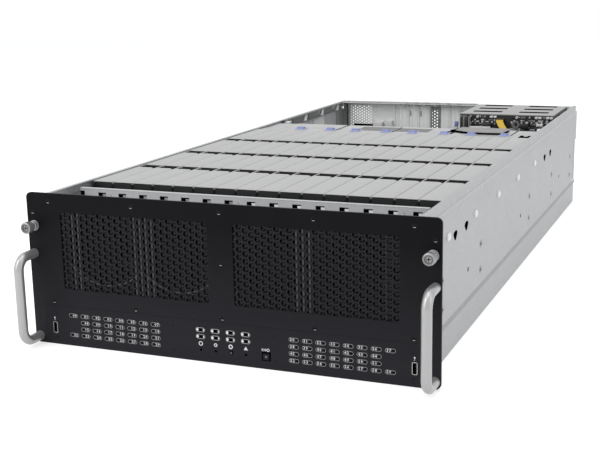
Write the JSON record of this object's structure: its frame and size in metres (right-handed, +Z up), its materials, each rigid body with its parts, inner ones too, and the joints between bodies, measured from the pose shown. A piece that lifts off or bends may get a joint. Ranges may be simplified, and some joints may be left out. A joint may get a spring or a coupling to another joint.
{
  "type": "rack server",
  "caption": "Four-unit rack storage server with its lids off: black front panel with hexagon vents and bar handles, top-loaded disk carriers, fan wall and open rear compartment.",
  "frame": {"origin": "middle of the footprint, on the surface that the chassis stands on", "axes": "+X to the right seen from the front, +Y from the front panel to the rear, +Z up"},
  "size_m": [0.4826, 1.0594, 0.1769],
  "materials": {
    "galvanised": "galvanised sheet, satin",
    "lid_steel": "zinc-plated sheet, matt",
    "panel_black": "black powder coat, fine grain",
    "satin_aluminium": "satin anodised",
    "screw_steel": "black zinc",
    "plated_shell": "nickel-plated sheet",
    "fan_black": "moulded black plastic",
    "module_grey": "moulded light grey plastic",
    "latch_black": "moulded charcoal plastic",
    "button_black": "smooth black plastic",
    "board_green": "green solder mask",
    "board_black": "black solder mask",
    "ribbon_yellow": "yellow cable jacket",
    "channel_grey": "dark grey coat",
    "stud_zinc": "bright plated",
    "disk_alloy": "cast and milled case"
  },
  "bodies": {
    "chassis": {"base_pan": "galvanised", "side_wall_right": "galvanised", "side_wall_left": "galvanised", "rear_panel": "galvanised", "front_panel": "panel_black", "control_plate": "panel_black", "vent_grilles": "panel_black", "handle_left": "satin_aluminium", "handle_right": "satin_aluminium", "panel_screws": "screw_steel", "indicator_board": "board_black", "usb_ports": "plated_shell", "front_fan_frames": "fan_black", "front_fan_shelf": "galvanised", "front_rail": "galvanised", "row_crossbars": "galvanised", "backplanes": "board_green", "fan_wall": "galvanised", "mainboard": "board_green", "heatsinks": "satin_aluminium", "memory_modules": "board_black", "slot_covers": "plated_shell", "psu_cage": "galvanised", "power_board": "board_black", "ribbon_cable": "ribbon_yellow", "cover_rails": "channel_grey", "wall_studs": "stud_zinc", "parked_trays": "lid_steel", "parked_disks": "disk_alloy", "parked_latches": "latch_black"},
    "carrier_1": {"tray_1": "lid_steel", "disk_1": "disk_alloy"},
    "latch_1": {"latch_1": "latch_black"},
    "front_rotor_1": {"front_rotor_1": "fan_black"},
    "fan_module_1": {"fan_module_1": "module_grey"},
    "fan_rotor_1": {"fan_rotor_1": "fan_black"},
    "carrier_2": {"tray_2": "lid_steel", "disk_2": "disk_alloy"},
    "latch_2": {"latch_2": "latch_black"},
    "front_rotor_2": {"front_rotor_2": "fan_black"},
    "fan_module_2": {"fan_module_2": "module_grey"},
    "fan_rotor_2": {"fan_rotor_2": "fan_black"},
    "carrier_3": {"tray_3": "lid_steel", "disk_3": "disk_alloy"},
    "latch_3": {"latch_3": "latch_black"},
    "front_rotor_3": {"front_rotor_3": "fan_black"},
    "fan_module_3": {"fan_module_3": "module_grey"},
    "fan_rotor_3": {"fan_rotor_3": "fan_black"},
    "carrier_4": {"tray_4": "lid_steel", "disk_4": "disk_alloy"},
    "latch_4": {"latch_4": "latch_black"},
    "front_rotor_4": {"front_rotor_4": "fan_black"},
    "fan_module_4": {"fan_module_4": "module_grey"},
    "fan_rotor_4": {"fan_rotor_4": "fan_black"},
    "thumbscrew_left": {"thumbscrew_left": "satin_aluminium"},
    "psu_left": {"psu_left": "plated_shell"},
    "thumbscrew_right": {"thumbscrew_right": "satin_aluminium"},
    "psu_right": {"psu_right": "plated_shell"},
    "power_button": {"power_button": "button_black"},
    "id_button": {"id_button": "button_black"}
  },
  "joints": [
    {"name": "carrier_1_lift", "type": "slide", "parent": "chassis", "child": "carrier_1", "axis": [0, 0, 1], "range_m": [0, 0.16]},
    {"name": "latch_1_tilt", "type": "hinge", "parent": "carrier_1", "child": "latch_1", "pos_m": [0.1215, -0.38525, 0.122], "axis": [1, 0, 0], "range_deg": [0, 12]},
    {"name": "front_rotor_1_spin", "type": "hinge", "parent": "chassis", "child": "front_rotor_1", "pos_m": [-0.15225, -0.46675, 0.1115], "axis": [0, 1, 0], "continuous": true},
    {"name": "fan_module_1_lift", "type": "slide", "parent": "chassis", "child": "fan_module_1", "axis": [0, 0, 1], "range_m": [0, 0.12]},
    {"name": "fan_rotor_1_spin", "type": "hinge", "parent": "fan_module_1", "child": "fan_rotor_1", "pos_m": [-0.138, 0.15575, 0.1195], "axis": [0, 1, 0], "continuous": true},
    {"name": "carrier_2_lift", "type": "slide", "parent": "chassis", "child": "carrier_2", "axis": [0, 0, 1], "range_m": [0, 0.16]},
    {"name": "latch_2_tilt", "type": "hinge", "parent": "carrier_2", "child": "latch_2", "pos_m": [0.1215, -0.26075, 0.122], "axis": [1, 0, 0], "range_deg": [0, 12]},
    {"name": "front_rotor_2_spin", "type": "hinge", "parent": "chassis", "child": "front_rotor_2", "pos_m": [-0.06075, -0.46675, 0.1115], "axis": [0, 1, 0], "continuous": true},
    {"name": "fan_module_2_lift", "type": "slide", "parent": "chassis", "child": "fan_module_2", "axis": [0, 0, 1], "range_m": [0, 0.12]},
    {"name": "fan_rotor_2_spin", "type": "hinge", "parent": "fan_module_2", "child": "fan_rotor_2", "pos_m": [-0.046, 0.15575, 0.1195], "axis": [0, 1, 0], "continuous": true},
    {"name": "carrier_3_lift", "type": "slide", "parent": "chassis", "child": "carrier_3", "axis": [0, 0, 1], "range_m": [0, 0.16]},
    {"name": "latch_3_tilt", "type": "hinge", "parent": "carrier_3", "child": "latch_3", "pos_m": [0.1215, -0.13625, 0.122], "axis": [1, 0, 0], "range_deg": [0, 12]},
    {"name": "front_rotor_3_spin", "type": "hinge", "parent": "chassis", "child": "front_rotor_3", "pos_m": [0.06075, -0.46675, 0.1115], "axis": [0, 1, 0], "continuous": true},
    {"name": "fan_module_3_lift", "type": "slide", "parent": "chassis", "child": "fan_module_3", "axis": [0, 0, 1], "range_m": [0, 0.12]},
    {"name": "fan_rotor_3_spin", "type": "hinge", "parent": "fan_module_3", "child": "fan_rotor_3", "pos_m": [0.046, 0.15575, 0.1195], "axis": [0, 1, 0], "continuous": true},
    {"name": "carrier_4_lift", "type": "slide", "parent": "chassis", "child": "carrier_4", "axis": [0, 0, 1], "range_m": [0, 0.16]},
    {"name": "latch_4_tilt", "type": "hinge", "parent": "carrier_4", "child": "latch_4", "pos_m": [0.1215, -0.01175, 0.122], "axis": [1, 0, 0], "range_deg": [0, 12]},
    {"name": "front_rotor_4_spin", "type": "hinge", "parent": "chassis", "child": "front_rotor_4", "pos_m": [0.15225, -0.46675, 0.1115], "axis": [0, 1, 0], "continuous": true},
    {"name": "fan_module_4_lift", "type": "slide", "parent": "chassis", "child": "fan_module_4", "axis": [0, 0, 1], "range_m": [0, 0.12]},
    {"name": "fan_rotor_4_spin", "type": "hinge", "parent": "fan_module_4", "child": "fan_rotor_4", "pos_m": [0.138, 0.15575, 0.1195], "axis": [0, 1, 0], "continuous": true},
    {"name": "thumbscrew_left_turn", "type": "hinge", "parent": "chassis", "child": "thumbscrew_left", "pos_m": [-0.23255, -0.50225, 0.139], "axis": [0, 1, 0], "continuous": true},
    {"name": "psu_left_slide", "type": "slide", "parent": "chassis", "child": "psu_left", "axis": [0, 1, 0], "range_m": [0, 0.14]},
    {"name": "thumbscrew_right_turn", "type": "hinge", "parent": "chassis", "child": "thumbscrew_right", "pos_m": [0.23255, -0.50225, 0.139], "axis": [0, 1, 0], "continuous": true},
    {"name": "psu_right_slide", "type": "slide", "parent": "chassis", "child": "psu_right", "axis": [0, 1, 0], "range_m": [0, 0.14]},
    {"name": "power_button_press", "type": "slide", "parent": "chassis", "child": "power_button", "axis": [0, 1, 0], "range_m": [0, 0.0016], "stiffness_N_per_m": 700},
    {"name": "id_button_press", "type": "slide", "parent": "chassis", "child": "id_button", "axis": [0, 1, 0], "range_m": [0, 0.001], "stiffness_N_per_m": 700}
  ]
}
